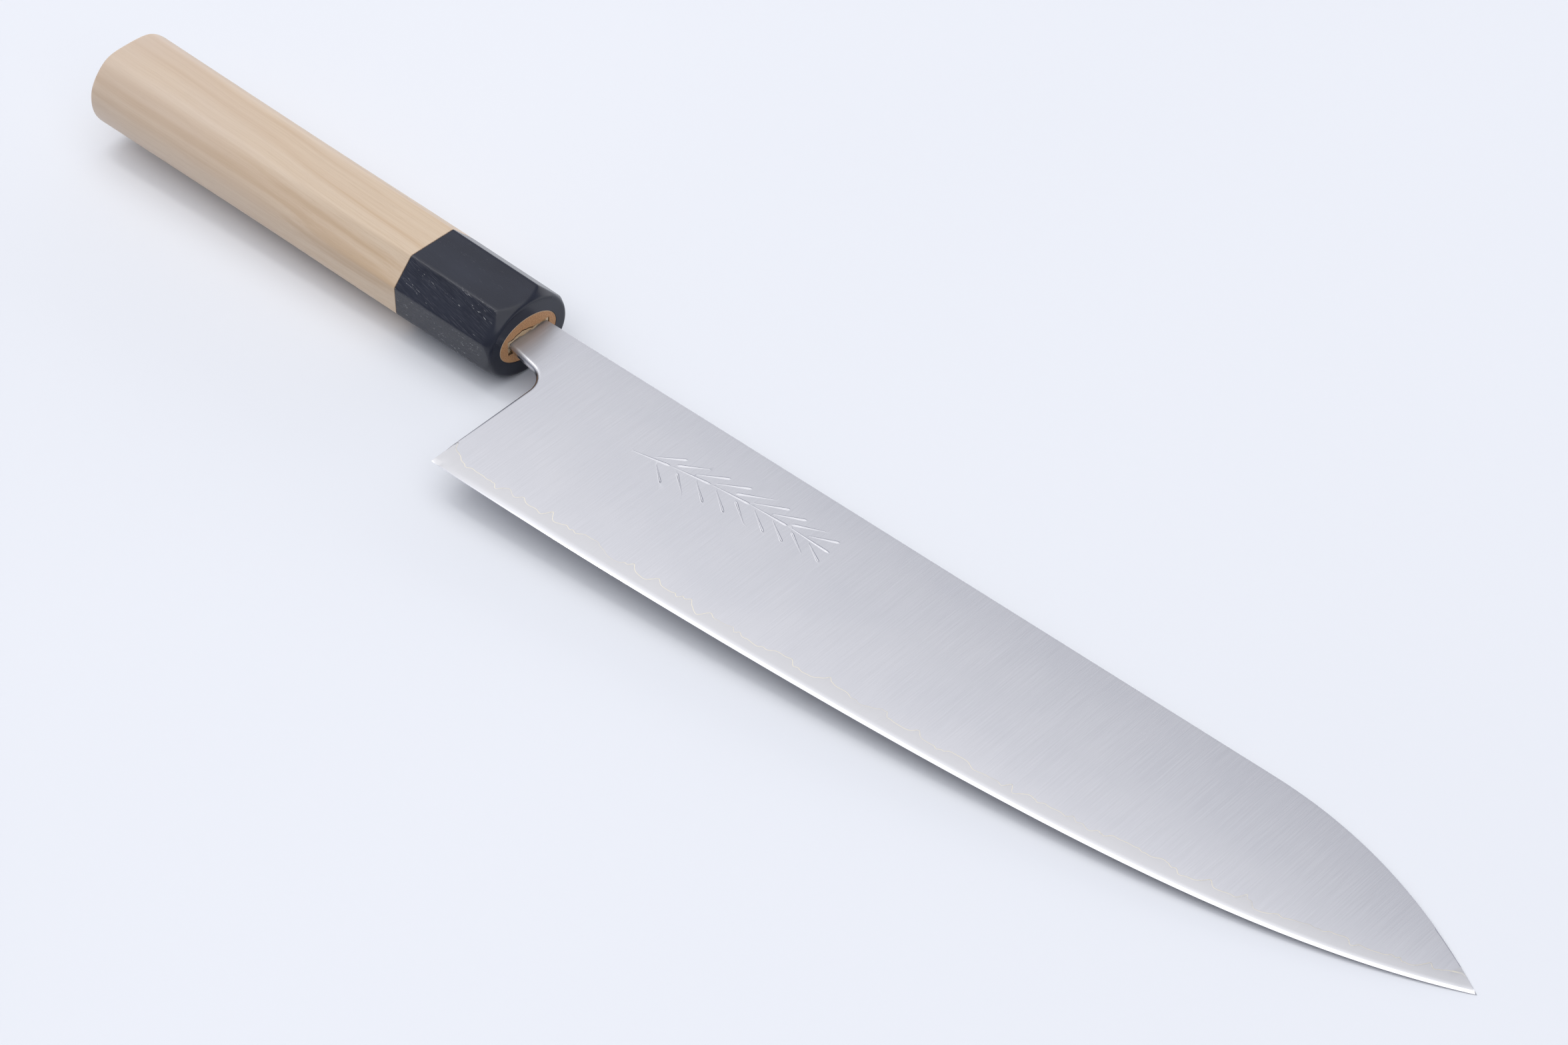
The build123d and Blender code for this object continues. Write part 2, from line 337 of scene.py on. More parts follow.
def sprig_strokes():
    """A plain sprig of tapered chisel cuts: (start, end, half width, depth), each wider to its end."""
    strokes = []
    stem = [(46.0, -12.6), (57.0, -10.3), (68.0, -8.6), (79.0, -7.5), (90.0, -7.0), (103.0, -7.2)]
    for a, b in zip(stem, stem[1:]):
        a, b = Vector(a), Vector(b)
        strokes.append((a + (b - a) * 0.06, b - (b - a) * 0.06, STEM_WIDTH, STEM_DEPTH))
    for k in range(LEAF_PAIRS):
        x = 52.0 + 5.4 * k
        y = float(np.interp(x, [p[0] for p in stem], [p[1] for p in stem]))
        length = 8.6 - 0.35 * abs(k - 4)
        for side, lean in ((1, 34.0), (-1, 38.0)):
            a = math.radians(lean - 1.2 * k) * side
            start = Vector((x + (1.6 if side < 0 else 0.0), y + 0.9 * side))
            end = start + Vector((math.cos(a), math.sin(a))) * length * (1.0 if side > 0 else 0.88)
            if k % 3 == 1:
                start, end = end, start
            strokes.append((start, end, LEAF_WIDTH, LEAF_DEPTH))
    return strokes


STROKES = sprig_strokes()


def stroke_half_width(t, width):
    """Half width along a cut, 0 at its thin start, widest just before its blunt end."""
    return width * max(0.0, min(0.18 + 0.82 * t**1.4, (1.0 - t) * 14.0))


def stroke_points(stroke):
    """Lines along a cut: its middle, then on both sides its rim, the foot of its burr and the end
    of the flat beside it."""
    start, end, width, _ = stroke
    along = (end - start).normalized()
    across = Vector((-along.y, along.x))
    lines = {k: [] for k in range(-3, 4)}
    steps = max(6, int((end - start).length / 0.5))
    for i in range(steps + 1):
        t = i / steps
        w = stroke_half_width(t, width)
        centre = start.lerp(end, t)
        for k in lines:
            reach = math.copysign((0.0, w, w + BURR, w + BURR + GUARD)[abs(k)], k)
            lines[k].append(tuple(centre + across * reach))
    return lines


def sprig_relief(points):
    """How far the cuts and their burrs change the surface height, in millimetres."""
    relief = np.zeros(len(points))
    for start, end, width, depth in STROKES:
        a = np.array(start)
        d = np.array(end) - a
        length = float(np.linalg.norm(d))
        rel = points - a
        t = rel @ d / length**2
        s = np.abs(rel @ np.array([-d[1], d[0]])) / length
        near = (t >= -0.002) & (t <= 1.002) & (s <= width + BURR + 0.01)
        for i in np.nonzero(near)[0]:
            tt = min(1.0, max(0.0, t[i]))
            w = max(1e-4, stroke_half_width(tt, width))
            low = depth * min(1.0, w / width * 1.2)
            high = 0.16 * low
            if s[i] <= w:
                relief[i] = -low + (low + high) * s[i] / w
            elif s[i] <= w + BURR:
                relief[i] = high * (1 - (s[i] - w) / BURR)
    return relief


# -------------------- blade mesh
def in_polygon(points, polygon):
    """Mask of the points inside a polygon."""
    inside = np.zeros(len(points), bool)
    x, y = points[:, 0], points[:, 1]
    for i in range(len(polygon)):
        j = i - 1
        xi, yi, xj, yj = *polygon[i], *polygon[j]
        if yi == yj:
            continue
        crosses = (yi > y) != (yj > y)
        inside ^= crosses & (x < (xj - xi) * (y - yi) / (yj - yi) + xi)
    return inside


def far_from(points, others, gap):
    """Mask of points with no other point nearer than gap."""
    keep = np.ones(len(points), bool)
    cell = {}
    for o in others:
        cell.setdefault((int(o[0] // gap), int(o[1] // gap)), []).append(o)
    for i, p in enumerate(points):
        cx, cy = int(p[0] // gap), int(p[1] // gap)
        for dx in (-1, 0, 1):
            for dy in (-1, 0, 1):
                for o in cell.get((cx + dx, cy + dy), ()):
                    if (o[0] - p[0]) ** 2 + (o[1] - p[1]) ** 2 < gap * gap:
                        keep[i] = False
    return keep


def triangulate_face(seed, with_sprig):
    """Points and triangles of one face of the blade, seen square on."""
    cutting = cutting_side()
    outline = np.r_[ROUND_SIDE, cutting]
    points = [tuple(p) for p in outline]
    edges = [(i, (i + 1) % len(outline)) for i in range(len(outline))]

    def add_line(line, closed=False):
        first = len(points)
        points.extend(tuple(p) for p in line)
        edges.extend((first + i, first + i + 1) for i in range(len(line) - 1))
        if closed:
            edges.append((first + len(line) - 1, first))

    interface = interface_loop(seed)
    add_line(interface, closed=True)
    bevel_x = cutting[3:, 0]
    bevel_x = bevel_x[edge_y(bevel_x) + bevel_height(bevel_x) < spine_y(bevel_x) - 0.12]
    add_line(np.c_[bevel_x, edge_y(bevel_x) + bevel_height(bevel_x)])
    for extra in (0.35, 0.9):
        points.extend((x, float(edge_y(x) + bevel_height(x)) + extra) for x in bevel_x[6:-8])

    rows = []
    for p, n, half, r in zip(ROUND_SIDE, INWARD, ROUND_HALF, ROUND_RADIUS):
        if r < 0.05:
            continue
        lowest = math.degrees(math.asin(min(1.0, core_half(p[0]) / half)))
        for angle in (lowest, 28, 40, 52, 64, 76, 88):
            if angle == lowest or angle > lowest + 8:
                rows.append(tuple(p + n * r * (1 - math.cos(math.radians(angle)))))
        rows.append(tuple(p + n * r * 1.25))
        rows.append(tuple(p + n * (r * 1.25 + 0.5)))
    line = seam_line(seed)[::4]
    across = np.c_[-np.gradient(line[:, 1]), np.gradient(line[:, 0])]
    across *= SEAM_LINE_WIDTH / np.linalg.norm(across, axis=1)[:, None]
    for side in (-3, -1, 1):
        beside = line + across * side
        gap = 0.9 * abs(side) * SEAM_LINE_WIDTH
        beside = beside[np.abs(above_seam(beside, seed)) > gap]
        rows.extend(map(tuple, beside[beside[:, 0] < TIP_X - 8]))
    rows = np.array(rows)
    rows = rows[in_polygon(rows, outline)]
    rows = rows[far_from(rows, interface, 0.04)]
    points.extend(map(tuple, rows))

    if with_sprig:
        for stroke in STROKES:
            for line in stroke_points(stroke).values():
                add_line(line)

    fixed = np.array(points)
    xs = np.arange(-TANG_LENGTH + 2, TIP_X, 1.6)
    ys = np.arange(HEEL_Y, SPINE_Y, 1.6)
    grid = np.array([(x + (0.8 if j % 2 else 0.0), y) for x in xs for j, y in enumerate(ys)])
    grid = grid[in_polygon(grid, outline)]
    grid = grid[far_from(grid, fixed, 0.85)]
    points.extend(map(tuple, grid))

    vectors = [Vector(p) for p in points]
    out, _, faces, origin, _, _ = delaunay_2d_cdt(vectors, edges, [], 1, 1e-5, True)
    out = np.array([tuple(v) for v in out])
    order = [next((i for i in ids if i < len(outline)), -1) for ids in origin]
    return out, np.array(faces), np.array(order), interface


def face_data(seed, with_sprig):
    """Everything about one face: points, heights, triangles, which are cladding, and UV values."""
    xy, tris, rim_order, interface = triangulate_face(seed, with_sprig)
    centres = xy[tris].mean(axis=1)
    polygon = np.r_[ROUND_SIDE, cutting_side()]
    tris = tris[in_polygon(centres, polygon)]
    centres = xy[tris].mean(axis=1)
    cladding = in_polygon(centres, interface)
    for _ in range(2):      # a cladding triangle with no corner away from the seam has no thickness
        seam_points = np.intersect1d(tris[cladding], tris[~cladding])
        cladding &= ~np.isin(tris, seam_points).all(axis=1)
    z = outer_half_thickness(xy)
    z[rim_order >= 0] = 0.0
    if with_sprig:
        z = z + sprig_relief(xy)
    seam = above_seam(xy, seed)
    height = xy[:, 1] - edge_y(xy[:, 0])
    uvs = {"surface": np.c_[xy[:, 0], xy[:, 1]] / 100, "edge": np.c_[seam, height] / 10}
    return {"xy": xy, "z": z, "tris": tris, "cladding": cladding, "rim": rim_order, "uvs": uvs}


def compact(points, faces, uvs):
    """Drops the points that no face uses."""
    used = np.unique(faces)
    remap = np.full(len(points), -1)
    remap[used] = np.arange(len(used))
    return points[used], remap[faces], {k: v[used] for k, v in uvs.items()}


def cladding_piece(name, side, face, material):
    """One cladding: its outer face, and its hidden face against the core, joined along their rim."""
    tris = face["tris"][face["cladding"]]
    core = face["tris"][~face["cladding"]]
    seam_points = np.intersect1d(tris, core)
    xy, z = face["xy"], face["z"]
    under = np.minimum(core_half(xy[:, 0]), z - 0.01)
    count = len(xy)
    low_index = np.arange(count) + count
    low_index[seam_points] = seam_points
    points = np.r_[np.c_[xy, z * side], np.c_[xy, under * side]]
    low_tris = low_index[tris]
    if side > 0:
        faces = np.r_[tris, low_tris[:, ::-1]]
    else:
        faces = np.r_[tris[:, ::-1], low_tris]
    uvs = {k: np.r_[v, v] for k, v in face["uvs"].items()}
    points, faces, uvs = compact(points, faces, uvs)
    piece = add_object(name, points, faces.tolist(), BLADE, [material], uvs, sharp_degrees=20)
    return piece


def core_piece(name, right, left, material, edge_material):
    """The middle layer: its bands show on both faces, and its rims round the spine and the choil."""
    points, faces, slots = [], [], []
    uvs = {"surface": [], "edge": []}
    rim_point = {}
    for face, side in ((right, 1.0), (left, -1.0)):
        xy, z = face["xy"], face["z"]
        used = face["tris"][face["cladding"]]
        hidden = np.zeros(len(xy), bool)
        hidden[used] = True
        hidden[np.unique(face["tris"][~face["cladding"]])] = False
        height = np.where(hidden, np.minimum(core_half(xy[:, 0]), z - 0.01), z)
        index = np.empty(len(xy), int)
        for i in range(len(xy)):
            rim = face["rim"][i]
            if rim >= 0 and rim in rim_point:
                index[i] = rim_point[rim]
                continue
            index[i] = len(points)
            if rim >= 0:
                rim_point[rim] = index[i]
            points.append((xy[i, 0], xy[i, 1], height[i] * side))
            for key in uvs:
                uvs[key].append(face["uvs"][key][i])
        tris = index[face["tris"]]
        faces.append(tris if side > 0 else tris[:, ::-1])
        centres = xy[face["tris"]].mean(axis=1)
        low = centres[:, 1] - edge_y(centres[:, 0]) < bevel_height(centres[:, 0])
        slots.append((low & (centres[:, 0] > HEEL_X + 0.2)).astype(int))
    points = np.array(points)
    uvs = {k: np.array(v) for k, v in uvs.items()}
    points, faces, uvs = compact(points, np.concatenate(faces), uvs)
    piece = add_object(name, points, faces.tolist(), BLADE, [material, edge_material], uvs,
                       np.concatenate(slots), sharp_degrees=40)
    return piece


# -------------------- handle shape
def octagon_planes(x):
    """Normals and distances of the octagon's eight sides at x."""
    growth = 1 + (BUTT_GROWTH - 1) * -x / HANDLE_LENGTH
    h, w = FRONT_HEIGHT * growth / 2, FRONT_WIDTH * growth / 2
    a = h - CHAMFER_Y * FRONT_HEIGHT * growth
    b = w - CHAMFER_Z * FRONT_WIDTH * growth
    ny, nz = w - b, h - a
    size = math.hypot(ny, nz)
    ny, nz = ny / size, nz / size
    reach = ny * h + nz * b
    planes = [((1, 0), h), ((-1, 0), h), ((0, 1), w), ((0, -1), w)]
    planes += [((sy * ny, sz * nz), reach) for sy in (1, -1) for sz in (1, -1)]
    return planes, (h, b), (a, w)


def octagon_angles(per_side):
    """Directions round the octagon, crowded near its corners."""
    _, (h, b), (a, w) = octagon_planes(0.0)
    corners = [math.atan2(b, h), math.atan2(w, a)]
    corners += [math.pi - c for c in reversed(corners)]
    corners += [math.pi + c for c in corners[:2]] + [2 * math.pi - c for c in reversed(corners[:2])]
    angles = []
    for i, start in enumerate(corners):
        end = corners[(i + 1) % 8] + (2 * math.pi if i == 7 else 0)
        for k in range(per_side):
            t = k / per_side
            angles.append(start + (end - start) * (0.5 - 0.5 * math.cos(math.pi * t)))
    return np.array(angles)


def octagon_radius(angles, x, sharpness, inset=0.0, nose=None):
    """Distance from the axis to the softened octagon in each direction. A nose is an ellipse that
    the octagon is also kept inside."""
    planes, _, _ = octagon_planes(x)
    y, z = np.cos(angles), np.sin(angles)
    total = np.zeros(len(angles))
    for (ny, nz), reach in planes:
        total += np.clip((y * ny + z * nz) / (reach - inset), 0, None) ** sharpness
    if nose:
        total += np.sqrt((y / nose[0]) ** 2 + (z / nose[1]) ** 2) ** sharpness
    return total ** (-1.0 / sharpness)


ANGLES = octagon_angles(28)


def ring(x, radius):
    return np.c_[np.full(len(ANGLES), x), radius * np.cos(ANGLES), radius * np.sin(ANGLES)]


def oval_ring(x, grow=0.0):
    a, b = TENON_HEIGHT / 2 + grow, TENON_WIDTH / 2 + grow
    y, z = np.cos(ANGLES), np.sin(ANGLES)
    return ring(x, 1 / np.sqrt((y / a) ** 2 + (z / b) ** 2))


def rings_object(name, rings, material, closed=False):
    """A piece of the handle from rings of equal count, with its ends closed or joined end to end."""
    count = len(rings[0])
    points = list(np.concatenate(rings))
    faces = ring_faces(len(rings), count)
    if closed:
        last = (len(rings) - 1) * count
        faces += [(last + j, j, (j + 1) % count, last + (j + 1) % count) for j in range(count)]
    else:
        for row, flip in ((0, False), (len(rings) - 1, True)):
            centre = len(points)
            points.append(np.mean(rings[row], axis=0))
            base = row * count
            for j in range(count):
                tri = (centre, base + j, base + (j + 1) % count)
                faces.append(tri[::-1] if flip else tri)
    piece = add_object(name, points, faces, HANDLE, [material])
    return piece


HORN_SHARPNESS = 120
HORN_NOSE_SHARPNESS = 90
NOSE_HEIGHT = 12.3
NOSE_WIDTH = 9.65
NOSE_SLOPE = 0.62
NOSE_ROUND = 0.5
BUTT_ROUND = 1.3
SLOT_DEPTH = 24.0
SLOT_TOP = 6.9
SLOT_BOTTOM = -6.5
SLOT_HALF_WIDTH = 1.95
CRACK_WIDTH = 0.30
SHIM_INNER_Z = 1.82


def wood_sharpness(x):
    """The wood's corners are crisp beside the ferrule and worn round towards the butt."""
    along = (-x - FERRULE_LENGTH) / (HANDLE_LENGTH - FERRULE_LENGTH)
    return 10 + 80 * math.exp(-max(0.0, along) * 8)


def wood_inset(x):
    """Below zero towards the butt, to make up for what the worn corners take away."""
    return -0.22 * max(0.0, -x - FERRULE_LENGTH) / (HANDLE_LENGTH - FERRULE_LENGTH)


def wood_rings():
    """Rings of the wooden body, from the slot's bottom over the tenon and the shoulder to the butt."""
    shoulder = -FERRULE_LENGTH - GLUE_THICKNESS
    mouth = slot_ring()
    rings = [mouth + (-SLOT_DEPTH, 0, 0), mouth, oval_ring(0.0, -0.35), oval_ring(0.0, -0.12)]
    rings += [oval_ring(-0.12, -0.02), oval_ring(-0.3), oval_ring(shoulder + 0.2), oval_ring(shoulder, 0.2)]
    body = octagon_radius(ANGLES, shoulder, wood_sharpness(shoulder))
    rings += [ring(shoulder, body * 0.96), ring(shoulder, body - 0.10), ring(shoulder - 0.10, body)]
    for x in np.linspace(shoulder - 2, -HANDLE_LENGTH + BUTT_ROUND, 46):
        rings.append(ring(x, octagon_radius(ANGLES, x, wood_sharpness(x), wood_inset(x))))
    for degrees in range(15, 91, 15):
        a = math.radians(degrees)
        x = -HANDLE_LENGTH + BUTT_ROUND * (1 - math.sin(a))
        inset = wood_inset(x) + BUTT_ROUND * (1 - math.cos(a))
        rings.append(ring(x, octagon_radius(ANGLES, x, wood_sharpness(x), inset)))
    last = rings[-1][:, 1:]
    for share in (0.96, 0.8, 0.5, 0.2):
        rings.append(np.c_[np.full(len(ANGLES), -HANDLE_LENGTH), last * share])
    return rings


def rectangle_ring(low_y, high_y, half_z):
    """A rectangle in the plane x = 0 with as many points as the other rings, running the same way."""
    corners = [(high_y, half_z), (low_y, half_z), (low_y, -half_z), (high_y, -half_z)]
    middle = (low_y + high_y) / 2
    turns = [math.atan2(z, y - middle) % (2 * math.pi) for y, z in corners]
    starts = [int(np.argmin(np.abs(ANGLES - turn))) for turn in turns]
    points = np.zeros((len(ANGLES), 3))
    for i, start in enumerate(starts):
        end = starts[(i + 1) % 4] + (len(ANGLES) if i == 3 else 0)
        a, b = np.array(corners[i]), np.array(corners[(i + 1) % 4])
        for k in range(start, end):
            points[k % len(ANGLES), 1:] = a + (b - a) * (k - start) / (end - start)
    return points


def crack_z(y):
    """Line of the dark crack beside the blade, as seen on the tenon's end: it bows out round the shim."""
    bow = 1.0 * np.exp(-(((y + 1.7) / 2.9) ** 2))
    return 1.72 + bow + 0.06 * np.sin(2.9 * y) + 0.04 * np.sin(6.1 * y + 1)


def slot_ring():
    """Mouth of the slot: a rectangle whose right side follows the crack."""
    outline = rectangle_ring(SLOT_BOTTOM, SLOT_TOP, SLOT_HALF_WIDTH)
    right = np.abs(outline[:, 2] - SLOT_HALF_WIDTH) < 1e-6
    outline[right, 2] = crack_z(outline[right, 1]) + CRACK_WIDTH
    return outline


def shim_rings():
    """The sliver of wood wedged beside the tang, between the crack and the resin."""
    ys = np.linspace(-5.3, 1.9, 40)
    outer = np.c_[ys, np.maximum(crack_z(ys) - 0.02, SHIM_INNER_Z + 0.03)]
    inner = np.c_[ys[::-1], np.full(len(ys), SHIM_INNER_Z)]
    outline = np.r_[outer, inner]
    rings = []
    for x, share in ((-16.0, 0.2), (-16.0, 1.0), (-0.12, 1.0), (-0.04, 0.97), (-0.02, 0.6), (-0.02, 0.2)):
        middle = outline.mean(axis=0)
        rings.append(np.c_[np.full(len(outline), x), middle + (outline - middle) * share])
    return rings


def resin_rings():
    """The resin that fills the slot round the tang, as a sleeve a little below the tenon's end."""
    outer = rectangle_ring(SLOT_BOTTOM + 0.03, SLOT_TOP - 0.03, SHIM_INNER_Z - 0.02)
    inner = rectangle_ring(SLOT_BOTTOM + 0.75, SLOT_TOP - 0.6, 1.35)
    wave = 0.10 * np.sin(ANGLES * 7) + 0.06 * np.sin(ANGLES * 17 + 2)
    front = np.c_[wave - 0.32, np.zeros((len(ANGLES), 2))]
    back = (-SLOT_DEPTH + 1, 0, 0)
    return [inner + front + (0.12, 0, 0), inner + back, outer + back, outer + front]


def ferrule_rings():
    """Rings of the horn ferrule: its bore from front to back, its back, its sides and its cut nose."""
    rings = [oval_ring(0.0, 0.06)] + [oval_ring(x, 0.04) for x in (-0.1, -4, -16, -28, -FERRULE_LENGTH)]
    back = octagon_radius(ANGLES, -FERRULE_LENGTH, HORN_SHARPNESS)
    rings += [ring(-FERRULE_LENGTH, back - 0.06), ring(-FERRULE_LENGTH + 0.06, back)]
    stations = list(np.linspace(-FERRULE_LENGTH + 1, -5, 20)) + list(np.linspace(-4.75, -0.25, 37))
    for x in stations + [-0.15, -0.07, -0.02, 0.0]:
        less = NOSE_ROUND - math.sqrt(NOSE_ROUND**2 - max(0.0, NOSE_ROUND + x) ** 2)
        nose = (NOSE_HEIGHT - NOSE_SLOPE * x - less, NOSE_WIDTH - NOSE_SLOPE * x - less)
        worn = np.clip((x + 6.0) / 4.0, 0, 1)
        sharpness = HORN_SHARPNESS + (HORN_NOSE_SHARPNESS - HORN_SHARPNESS) * worn
        rings.append(ring(x, octagon_radius(ANGLES, x, sharpness, nose=nose)))
    rings.append(ring(0.0, np.hypot(rings[-1][:, 1], rings[-1][:, 2]) - 0.5))
    return rings


# -------------------- shader helpers
def node(tree, kind, inputs=None, **settings):
    """Adds a shader node, sets its properties, fills or links its inputs, and returns its outputs."""
    made = tree.nodes.new("ShaderNode" + kind)
    for key, value in settings.items():
        setattr(made, key, value)
    for key, value in (inputs or {}).items():
        socket = made.inputs[key]
        if isinstance(value, bpy.types.NodeSocket):
            tree.links.new(value, socket)
        else:
            socket.default_value = value
    return made.outputs


def surface(name, **inputs):
    """A new material with one Principled shader. Constant inputs are set on the shader's sockets."""
    material = bpy.data.materials.new(name)
    material.use_nodes = True
    bsdf = material.node_tree.nodes["Principled BSDF"]
    for key, value in inputs.items():
        bsdf.inputs[key.replace("_", " ")].default_value = value
    return material, material.node_tree, bsdf


def link(tree, bsdf, **outputs):
    """Links outputs to the Principled shader's sockets."""
    for key, output in outputs.items():
        tree.links.new(output, bsdf.inputs[key.replace("_", " ")])


def ramp(tree, value, stops):
    """Colour ramp with stops of (position, colour or grey)."""
    outputs = node(tree, "ValToRGB", {"Fac": value})
    blend = outputs["Color"].node.color_ramp
    while len(blend.elements) < len(stops):
        blend.elements.new(0.5)
    for element, (position, colour) in zip(blend.elements, stops):
        element.position = position
        grey = isinstance(colour, (int, float))
        element.color = (colour, colour, colour, 1) if grey else (*colour, 1)
    return outputs["Color"]


def mix(tree, factor, a, b):
    """One colour over another, by a factor."""
    made = tree.nodes.new("ShaderNodeMix")
    made.data_type = "RGBA"
    for socket, value in ((made.inputs[0], factor), (made.inputs[6], a), (made.inputs[7], b)):
        if isinstance(value, bpy.types.NodeSocket):
            tree.links.new(value, socket)
        else:
            socket.default_value = (*value, 1) if isinstance(value, tuple) else value
    return made.outputs[2]


def maths(tree, operation, a, b=0.0):
    made = tree.nodes.new("ShaderNodeMath")
    made.operation = operation
    for socket, value in zip(made.inputs, (a, b)):
        if isinstance(value, bpy.types.NodeSocket):
            tree.links.new(value, socket)
        else:
            socket.default_value = value
    return made.outputs[0]


def handle_point(tree):
    """The handle's own coordinates in millimetres, as a texture vector."""
    place, turn, size = HANDLE.decompose()
    point = node(tree, "TexCoord")["Object"]
    return node(tree, "Mapping", {"Vector": point, "Location": place, "Rotation": turn.to_euler(),
                                  "Scale": size}, vector_type="TEXTURE")[0]


def streaks(tree, vector, scale, detail=3.0, rough=0.55, offset=(0, 0, 0), twist=0.0):
    """Noise stretched by a scale along each axis."""
    moved = node(tree, "Mapping", {"Vector": vector, "Scale": scale, "Location": offset})[0]
    return node(tree, "TexNoise", {"Vector": moved, "Scale": 1.0, "Detail": detail, "Roughness": rough,
                                   "Distortion": twist})["Fac"]


def bump(tree, height, distance, strength):
    return node(tree, "Bump", {"Height": height, "Distance": distance, "Strength": strength})["Normal"]


def axis(tree, vector, letter):
    return node(tree, "SeparateXYZ", {"Vector": vector})[letter]


def between(tree, factor, low, high):
    """A grey value that a factor takes from low to high, for a roughness."""
    return mix(tree, factor, (low,) * 3, (high,) * 3)


def product(tree, *values):
    result = values[0]
    for value in values[1:]:
        result = maths(tree, "MULTIPLY", result, value)
    return result


# -------------------- materials
STEEL_DARK = (0.50, 0.50, 0.52)
STEEL_BRIGHT = (0.70, 0.70, 0.72)


def along_blade(tree, uv, stops):
    """Ramp along the blade, whose surface UV counts tenths of a metre from the ferrule."""
    return ramp(tree, axis(tree, uv, "X"), stops)


def by_the_handle(tree, uv):
    return along_blade(tree, uv, [(0.03, 1.0), (0.13, 0.0)])


# Mask of the painted highlight on the bevel and the band above it: 0 up to 16 mm from the ferrule, 1 from
# 45 mm on.
def painted_highlight_past_heel(tree, uv):
    return along_blade(tree, uv, [(0.16, 0.0), (0.45, 1.0)])


def lengthwise(tree):
    return node(tree, "Tangent", direction_type="UV_MAP", uv_map="surface")["Tangent"]


def brushing(tree):
    """Fine lines from spine to edge, as left by finishing belts."""
    uv = node(tree, "UVMap", uv_map="surface")["UV"]
    wide = streaks(tree, uv, (45, 1.6, 1), 2.0)
    fine = streaks(tree, uv, (320, 6, 1), 5.0, 0.75, twist=0.1)
    hair = streaks(tree, uv, (1100, 14, 1), 2.0, 0.8, (3, 1, 0))
    return uv, wide, fine, hair


def steel_colour(tree, uv, wide, fine):
    """Grey with faint clouds and brushing, rubbed duller close to the ferrule."""
    clouds = streaks(tree, uv, (4, 6, 1), 2.0, offset=(7, 2, 0))
    base = ramp(tree, clouds, [(0.3, (0.585, 0.585, 0.61)), (0.7, (0.615, 0.612, 0.632))])
    base = mix(tree, ramp(tree, wide, [(0.35, 0.0), (0.7, 0.22)]), base, (0.57, 0.57, 0.59))
    base = mix(tree, ramp(tree, fine, [(0.35, 0.24), (0.5, 0.0)]), base, STEEL_DARK)
    base = mix(tree, ramp(tree, fine, [(0.5, 0.0), (0.68, 0.28)]), base, STEEL_BRIGHT)
    near_handle = along_blade(tree, uv, [(0.0, 1.0), (0.06, 0.0)])
    rubbed = ramp(tree, streaks(tree, uv, (130, 6, 1), 4.0, 0.7, (1, 5, 0)), [(0.42, 0.0), (0.62, 0.55)])
    return mix(tree, product(tree, near_handle, rubbed), base, (0.50, 0.49, 0.48))


def cladding_steel(name):
    """Softer steel: satin, brushed from spine to edge."""
    material, tree, bsdf = surface(name, Metallic=1.0, Anisotropic=0.45)
    uv, wide, fine, hair = brushing(tree)
    rough = mix(tree, by_the_handle(tree, uv), between(tree, fine, 0.18, 0.27), (0.42,) * 3)
    link(tree, bsdf, Base_Color=steel_colour(tree, uv, wide, fine), Roughness=rough,
         Tangent=lengthwise(tree), Normal=bump(tree, maths(tree, "ADD", fine, hair), 0.000004, 0.5))
    return material


def core_steel(name):
    """Harder steel: a pale line where it meets the cladding, a warm band, then a painted highlight just
    above the bevel.
    """
    material, tree, bsdf = surface(name, Metallic=1.0, Anisotropic=0.35)
    uv, wide, fine, hair = brushing(tree)
    split = node(tree, "SeparateXYZ", {"Vector": node(tree, "UVMap", uv_map="edge")["UV"]})
    depth = maths(tree, "MULTIPLY", split["X"], -2.0)
    cloud = streaks(tree, uv, (40, 50, 1), 3.0)
    shifted = maths(tree, "ADD", depth, product(tree, maths(tree, "SUBTRACT", cloud, 0.5), 0.25))
    band = ramp(tree, shifted, [(0.05, (0.580, 0.568, 0.556)), (0.6, (0.590, 0.584, 0.580))])
    base = mix(tree, 0.5, band, steel_colour(tree, uv, wide, fine))
    # Painted highlight: the core is painted near white in a band a millimetre or two above the bevel, past
    # the heel.
    edge_painted_highlight = ramp(tree, split["Y"], [(0.08, 0.55), (0.13, 0.25), (0.20, 0.0)])
    edge_painted_highlight = product(tree, edge_painted_highlight, painted_highlight_past_heel(tree, uv))
    base = mix(tree, edge_painted_highlight, base, (0.86, 0.86, 0.88))
    faint = ramp(tree, streaks(tree, uv, (9, 9, 1), 2.0, offset=(2, 2, 0)), [(0.36, 0.30), (0.52, 0.95)])
    line = ramp(tree, maths(tree, "ABSOLUTE", depth), [(0.030, 1.0), (0.044, 0.0)])
    base = mix(tree, product(tree, line, faint), base, (0.80, 0.75, 0.63))
    link(tree, bsdf, Base_Color=base, Roughness=between(tree, fine, 0.17, 0.25),
         Tangent=lengthwise(tree), Normal=bump(tree, maths(tree, "ADD", fine, hair), 0.000003, 0.5))
    return material


def bevel_steel(name):
    """The sharpened bevel: finer scratches, close to a polish, its colour paler past the heel as a painted
    highlight.
    """
    material, tree, bsdf = surface(name, Metallic=1.0)
    uv = node(tree, "UVMap", uv_map="surface")["UV"]
    fine = streaks(tree, uv, (900, 160, 1), 3.0)
    # Painted highlight: the bevel's colour goes from grey by the heel to near white further along.
    base = mix(tree, painted_highlight_past_heel(tree, uv), (0.52, 0.52, 0.55), (0.76, 0.76, 0.78))
    link(tree, bsdf, Base_Color=base, Roughness=between(tree, fine, 0.17, 0.28),
         Normal=bump(tree, fine, 0.000002, 0.4))
    return material


